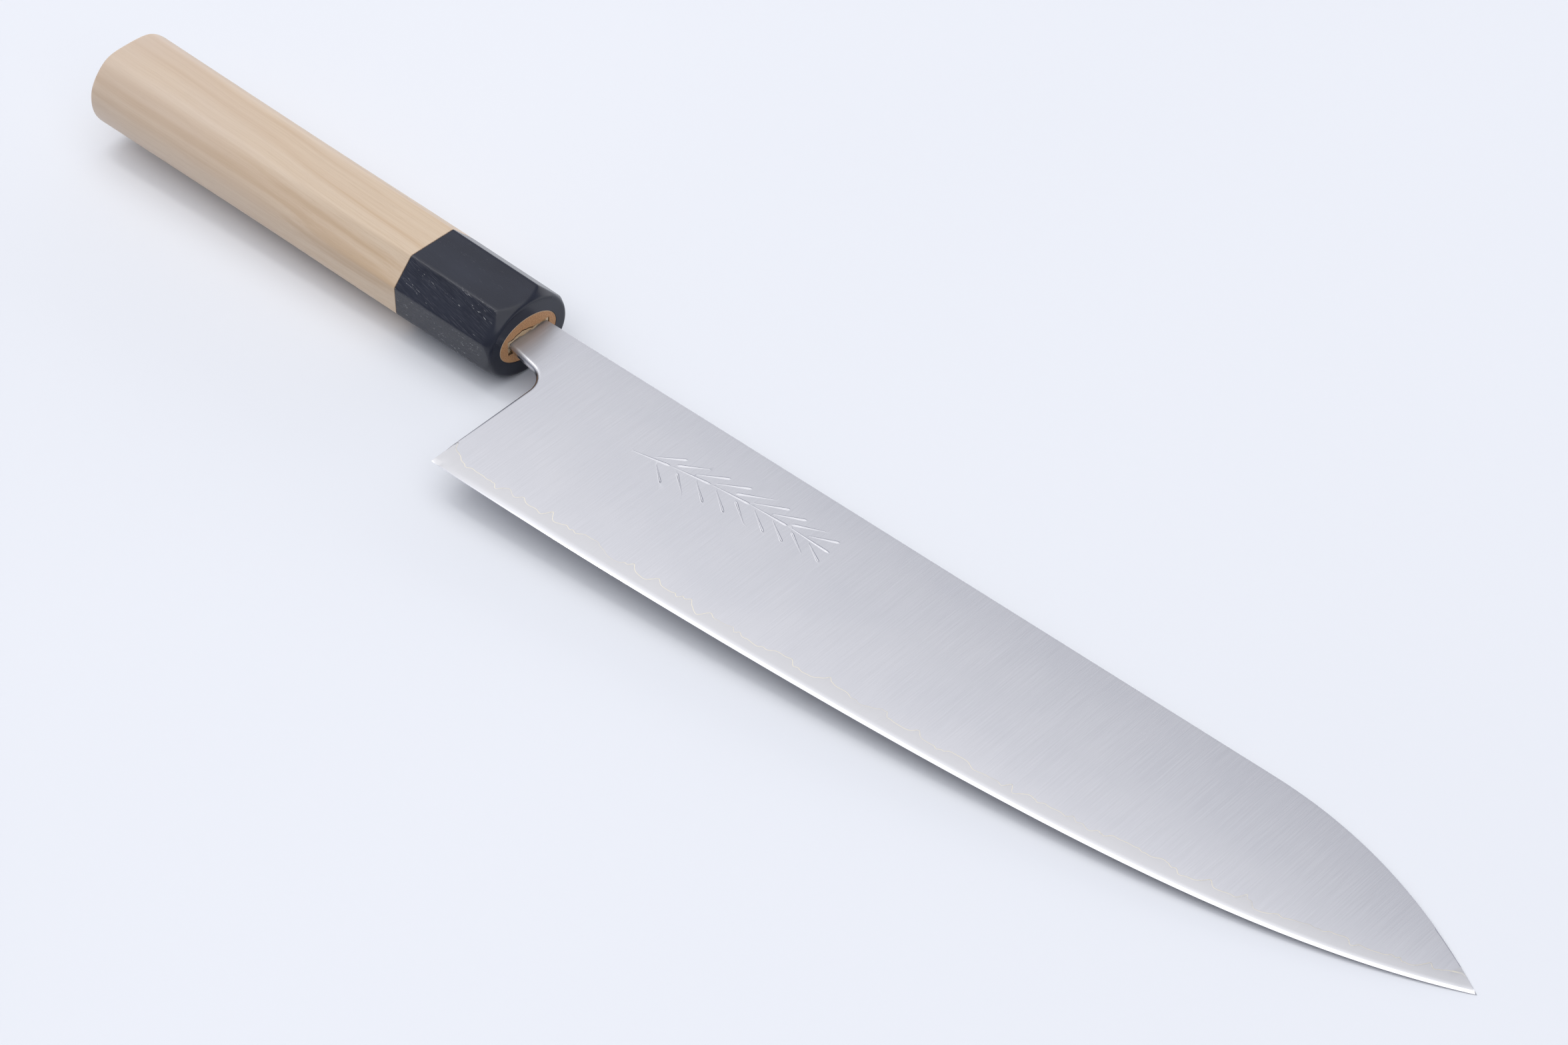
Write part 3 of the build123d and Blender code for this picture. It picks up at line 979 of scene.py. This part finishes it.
def pale_wood(name):
    """Ho wood: cream, with long, slightly wavy brown streaks along the handle and fine pores."""
    material, tree, bsdf = surface(name, Specular_IOR_Level=0.45)
    point = handle_point(tree)
    turned = node(tree, "Mapping", {"Vector": point, "Rotation": (0, 0, math.radians(2.5))})[0]
    bend = streaks(tree, point, (0.018, 0.03, 0.03), 1.0)
    sideways = product(tree, maths(tree, "SUBTRACT", bend, 0.5), 6.0)
    swerve = node(tree, "CombineXYZ", {"Y": sideways})[0]
    grain_point = node(tree, "VectorMath", {0: turned, 1: swerve}, operation="ADD")[0]
    rings = streaks(tree, grain_point, (0.006, 0.36, 0.36), 3.0, 0.5)
    fine = streaks(tree, grain_point, (0.03, 2.6, 2.6), 4.0, 0.6)
    pores = streaks(tree, grain_point, (0.22, 7.0, 7.0), 2.0, 0.6)
    cloud = streaks(tree, point, (0.03, 0.08, 0.08), 2.0, offset=(3, 8, 1))
    base = ramp(tree, rings, [(0.32, (0.545, 0.395, 0.255)), (0.42, (0.60, 0.455, 0.315)),
                              (0.55, (0.63, 0.495, 0.355)), (0.75, (0.65, 0.52, 0.385))])
    base = mix(tree, ramp(tree, fine, [(0.36, 0.28), (0.56, 0.0)]), base, (0.49, 0.34, 0.21))
    base = mix(tree, ramp(tree, pores, [(0.28, 0.25), (0.40, 0.0)]), base, (0.37, 0.25, 0.15))
    towards_butt = ramp(tree, product(tree, axis(tree, point, "X"), -0.007), [(0.25, 0.0), (1.0, 0.75)])
    greyer = product(tree, maths(tree, "ADD", cloud, 0.1), towards_butt)
    base = mix(tree, greyer, base, (0.60, 0.485, 0.395))
    height = maths(tree, "ADD", fine, product(tree, pores, 0.6))
    link(tree, bsdf, Base_Color=base, Roughness=between(tree, fine, 0.35, 0.50),
         Normal=bump(tree, height, 0.00005, 0.35))
    return material


def tenon_end(name):
    """Cut end of the tenon, darkened by oil: tan orange with small dark pores."""
    material, tree, bsdf = surface(name, Roughness=0.6)
    dots = streaks(tree, handle_point(tree), (0.3, 3.2, 3.2), 3.0, 0.6)
    base = ramp(tree, dots, [(0.30, (0.30, 0.135, 0.05)), (0.5, (0.46, 0.235, 0.10)),
                             (0.72, (0.56, 0.33, 0.17))])
    link(tree, bsdf, Base_Color=base, Normal=bump(tree, dots, 0.00008, 0.5))
    return material


def butt_end(name):
    """End grain at the butt: a little darker than the sides, with growth rings."""
    material, tree, bsdf = surface(name, Roughness=0.55)
    point = handle_point(tree)
    arcs = streaks(tree, point, (0.02, 0.9, 0.10), 2.0, 0.4, twist=0.6)
    pores = streaks(tree, point, (0.1, 5.0, 5.0), 2.0, 0.6)
    base = ramp(tree, arcs, [(0.35, (0.40, 0.285, 0.18)), (0.5, (0.53, 0.41, 0.285)),
                             (0.66, (0.60, 0.49, 0.36))])
    base = mix(tree, ramp(tree, pores, [(0.30, 0.6), (0.42, 0.0)]), base, (0.26, 0.17, 0.10))
    link(tree, bsdf, Base_Color=base, Normal=bump(tree, pores, 0.00006, 0.4))
    return material


def dark_horn(name):
    """Buffalo horn: blue-black, satin, with fine scratches along it and rows of broken pale flecks."""
    material, tree, bsdf = surface(name, Specular_IOR_Level=0.42)
    point = handle_point(tree)
    turned = node(tree, "Mapping", {"Vector": point, "Rotation": (0, math.radians(-5), math.radians(8))})[0]
    cloud = streaks(tree, point, (0.05, 0.12, 0.12), 2.0)
    fibre = streaks(tree, turned, (0.08, 4.5, 4.5), 4.0, 0.7)
    fleck = streaks(tree, turned, (0.55, 4.2, 4.2), 3.0, 0.6, (5, 2, 8))
    row = streaks(tree, turned, (0.03, 0.8, 0.8), 1.0, offset=(2, 6, 4))
    down = product(tree, axis(tree, point, "Y"), -0.1)
    edge_side = ramp(tree, down, [(0.60, 0.08), (0.66, 1.0)])
    behind_nose = ramp(tree, product(tree, axis(tree, point, "X"), -0.1), [(0.20, 0.0), (0.32, 1.0)])
    base = ramp(tree, cloud, [(0.3, (0.010, 0.012, 0.021)), (0.7, (0.017, 0.020, 0.033))])
    worn = product(tree, ramp(tree, fibre, [(0.45, 0.0), (0.75, 0.45)]), edge_side, behind_nose)
    base = mix(tree, worn, base, (0.085, 0.088, 0.105))
    lower_side = product(tree, ramp(tree, down, [(1.17, 0.0), (1.21, 0.55)]), behind_nose,
                         ramp(tree, fibre, [(0.3, 0.4), (0.7, 1.0)]))
    base = mix(tree, lower_side, base, (0.075, 0.078, 0.092))
    pale = product(tree, ramp(tree, fleck, [(0.62, 0.0), (0.68, 1.0)]),
                   ramp(tree, row, [(0.54, 0.0), (0.60, 1.0)]), edge_side, behind_nose)
    base = mix(tree, product(tree, pale, 0.8), base, (0.45, 0.45, 0.45))
    link(tree, bsdf, Base_Color=base, Roughness=between(tree, worn, 0.24, 0.36),
         Normal=bump(tree, maths(tree, "ADD", worn, pale), 0.00002, 0.5))
    return material


def amber_resin(name):
    """Amber resin, set in the slot."""
    material, tree, bsdf = surface(name, Roughness=0.3, Transmission_Weight=0.15)
    point = handle_point(tree)
    cloud = streaks(tree, point, (0.5, 1.2, 1.2), 3.0)
    link(tree, bsdf, Base_Color=ramp(tree, cloud, [(0.3, (0.36, 0.215, 0.085)), (0.7, (0.55, 0.38, 0.18))]),
         Normal=bump(tree, cloud, 0.00006, 0.4))
    return material


def glue_and_painted_shade(name):
    """Dark brown: the old glue in the joint, and painted shade on the walls of the slot and of its crack.
    """
    material, tree, bsdf = surface(name, Roughness=0.5)
    speck = streaks(tree, handle_point(tree), (2, 2, 2), 2.0)
    link(tree, bsdf, Base_Color=ramp(tree, speck, [(0.3, (0.06, 0.035, 0.02)), (0.7, (0.20, 0.12, 0.06))]))
    return material


def shim_wood(name):
    """Pale wood of the sliver beside the tang."""
    material, tree, bsdf = surface(name, Roughness=0.65)
    fine = streaks(tree, handle_point(tree), (0.5, 4.0, 4.0), 3.0)
    link(tree, bsdf, Base_Color=ramp(tree, fine, [(0.3, (0.40, 0.26, 0.13)), (0.7, (0.62, 0.46, 0.28))]),
         Normal=bump(tree, fine, 0.00008, 0.5))
    return material


# -------------------- pieces
WOOD_TENON_END, WOOD_BUTT_END, WOOD_SLOT = 1, 2, 3      # the wood's materials after its first


def settle(piece, cad_node, degrees=None):
    """Marks a piece's sharp edges, where an angle is given, and says what it rides on and replaces."""
    if degrees:
        sharpen(piece.data, degrees)
    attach(piece, "root")
    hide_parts(cad_node)


def build_blade():
    right = face_data(1.0, with_sprig=True)
    left = face_data(4.0, with_sprig=False)
    steel = cladding_steel("cladding_satin")
    pieces = [cladding_piece("blade_cladding_right", 1.0, right, steel),
              cladding_piece("blade_cladding_left", -1.0, left, steel),
              core_piece("blade_core", right, left, core_steel("core_satin"), bevel_steel("core_bevel"))]
    for piece, cad_node in zip(pieces, ("right_cladding", "left_cladding", "core_steel")):
        settle(piece, cad_node)


def wood_material(spot, faces_along):
    """Which of the wood's materials a face has, from its centre and whether it faces along the handle."""
    if faces_along:
        return WOOD_BUTT_END if spot.x < -HANDLE_LENGTH + 1 else WOOD_TENON_END if spot.x > -1 else 0
    # Walls inside the slot take the dark brown painted shade.
    low = spot.x > -SLOT_DEPTH - 1 and abs(spot.y) < SLOT_TOP + 0.05
    return WOOD_SLOT if low and abs(spot.z) < crack_z(spot.y) + CRACK_WIDTH + 0.05 else 0


def build_handle():
    wood = rings_object("handle_body", wood_rings(), pale_wood("ho_wood_pale"))
    # The last of these is dark brown painted shade for the slot's walls.
    for material in (tenon_end("tenon_end_grain"), butt_end("butt_end_grain"), glue_and_painted_shade("slot_painted_shade")):
        wood.data.materials.append(material)
    forward = (HANDLE.to_3x3() @ Vector((1, 0, 0))).normalized()
    to_local = HANDLE.inverted()
    for face in wood.data.polygons:
        face.material_index = wood_material(to_local @ face.center, abs(face.normal.dot(forward)) > 0.95)
    settle(wood, "handle_wood", 30)

    horn = rings_object("ferrule", ferrule_rings(), dark_horn("buffalo_horn"), closed=True)
    settle(horn, "horn_ferrule", 30)

    line = -FERRULE_LENGTH - GLUE_THICKNESS
    outer = [ring(x, octagon_radius(ANGLES, x, wood_sharpness(x)) - 0.04) for x in (line, -FERRULE_LENGTH)]
    rings = [oval_ring(-FERRULE_LENGTH, 0.3), oval_ring(line, 0.3)] + outer
    glue = rings_object("glue_joint", rings, glue_and_painted_shade("old_glue"), closed=True)
    settle(glue, "shoulder_glue", 30)

    resin = rings_object("resin_sleeve", resin_rings(), amber_resin("resin_amber"), closed=True)
    settle(resin, "tang_resin", 50)

    shim = rings_object("tang_sliver", shim_rings(), shim_wood("shim_pale"))
    # The sliver's face towards the crack is painted dark brown, a painted shade in the crack.
    shim.data.materials.append(glue_and_painted_shade("crack_painted_shade"))
    outward = (HANDLE.to_3x3() @ Vector((0, 0, 1))).normalized()
    for face in shim.data.polygons:
        face.material_index = int(face.normal.dot(outward) > 0.5)
    settle(shim, "tang_shim", 40)


# -------------------- stage
# The sky is dark below three slanting planes, given by direction and offset, and bright above them.
CEILING_SIDES = (((-0.24, -0.79, 0.56), 0.0), ((0.35, -0.75, 0.56), 0.29), ((0.0, 0.62, 0.785), 0.0))
FAR_WALL = (0.0, 0.75, -1.35)                                   # a pale wall, bright only low down
SOFTBOX_COLOUR = (1.0, 0.99, 0.98)
AIM = Vector((0.01104, 0.01696, 0.0))
AZIMUTH = math.radians(45.3)
ELEVATION = math.radians(41.7)
ROLL = math.radians(-2.096)
DISTANCE = 1.040
LENS = 105.47


def build_camera():
    forward = Vector((-math.sin(AZIMUTH) * math.cos(ELEVATION), math.cos(AZIMUTH) * math.cos(ELEVATION),
                      -math.sin(ELEVATION)))
    level = forward.cross(Vector((0, 0, 1))).normalized()
    up = level.cross(forward)
    right = level * math.cos(ROLL) + up * math.sin(ROLL)
    camera = place_object("camera", bpy.data.cameras.new("camera"))
    turn = Matrix((right, right.cross(forward), -forward)).transposed().to_4x4()
    camera.matrix_world = Matrix.Translation(AIM - forward * DISTANCE) @ turn
    camera.data.lens = LENS
    camera.data.sensor_width = 36.0
    bpy.context.scene.camera = camera


def build_floor():
    material, tree, bsdf = surface("table_top", Roughness=0.6, Specular_IOR_Level=0.3)
    cloud = streaks(tree, node(tree, "TexCoord")["Object"], (3, 3, 3), 2.0)
    base = ramp(tree, cloud, [(0.3, (0.775, 0.79, 0.818)), (0.7, (0.79, 0.805, 0.833))])
    link(tree, bsdf, Base_Color=base)
    half = 6.0
    corners = [(-half, -half, 0), (half, -half, 0), (half, half, 0), (-half, half, 0)]
    floor = add_object("floor", corners, [(0, 1, 2, 3)], Matrix.Identity(4), [material])


def softbox(name, place, towards, size, power):
    light = bpy.data.lights.new(name, "AREA")
    light.shape = "RECTANGLE"
    light.size, light.size_y = size
    light.energy = power
    light.color = SOFTBOX_COLOUR
    turn = (Vector(towards) - Vector(place)).to_track_quat("-Z", "Y")
    place_object(name, light).matrix_world = Matrix.Translation(place) @ turn.to_matrix().to_4x4()


def build_light():
    world = bpy.data.worlds.new("studio")
    world.use_nodes = True
    bpy.context.scene.world = world
    tree = world.node_tree
    direction = node(tree, "TexCoord")["Generated"]
    nearest = 1.0
    for side, offset in CEILING_SIDES:
        height = node(tree, "VectorMath", {0: direction, 1: side}, operation="DOT_PRODUCT")["Value"]
        nearest = maths(tree, "MINIMUM", maths(tree, "ADD", height, offset), nearest)
    wall = node(tree, "VectorMath", {0: direction, 1: FAR_WALL}, operation="DOT_PRODUCT")["Value"]
    nearest = maths(tree, "MAXIMUM", nearest, wall)
    share = node(tree, "MapRange", {"Value": nearest, "From Min": -1.0, "From Max": 1.0})["Result"]
    sky = ramp(tree, share, [(0.0, (0.36, 0.38, 0.46)), (0.48, (0.36, 0.38, 0.46)),
                             (0.515, (0.42, 0.44, 0.51)), (0.535, (0.58, 0.60, 0.67)),
                             (0.55, (0.88, 0.90, 0.97)), (0.57, (1.30, 1.31, 1.37)),
                             (0.60, (1.44, 1.45, 1.50)), (1.0, (1.56, 1.58, 1.65))])
    tree.links.new(sky, tree.nodes["Background"].inputs["Color"])
    tree.nodes["Background"].inputs["Strength"].default_value = 0.95
    softbox("overhead", (0.05, 0.60, 1.5), (0.0, 0.0, 0.0), (1.3, 0.7), 0.8)
    softbox("strip", (-0.62, 0.02, 1.18), (-0.05, 0.0, 0.0), (0.12, 0.75), 1.7)
    bpy.context.scene.view_settings.view_transform = "Standard"


build_camera()
build_blade()
build_handle()
build_floor()
build_light()
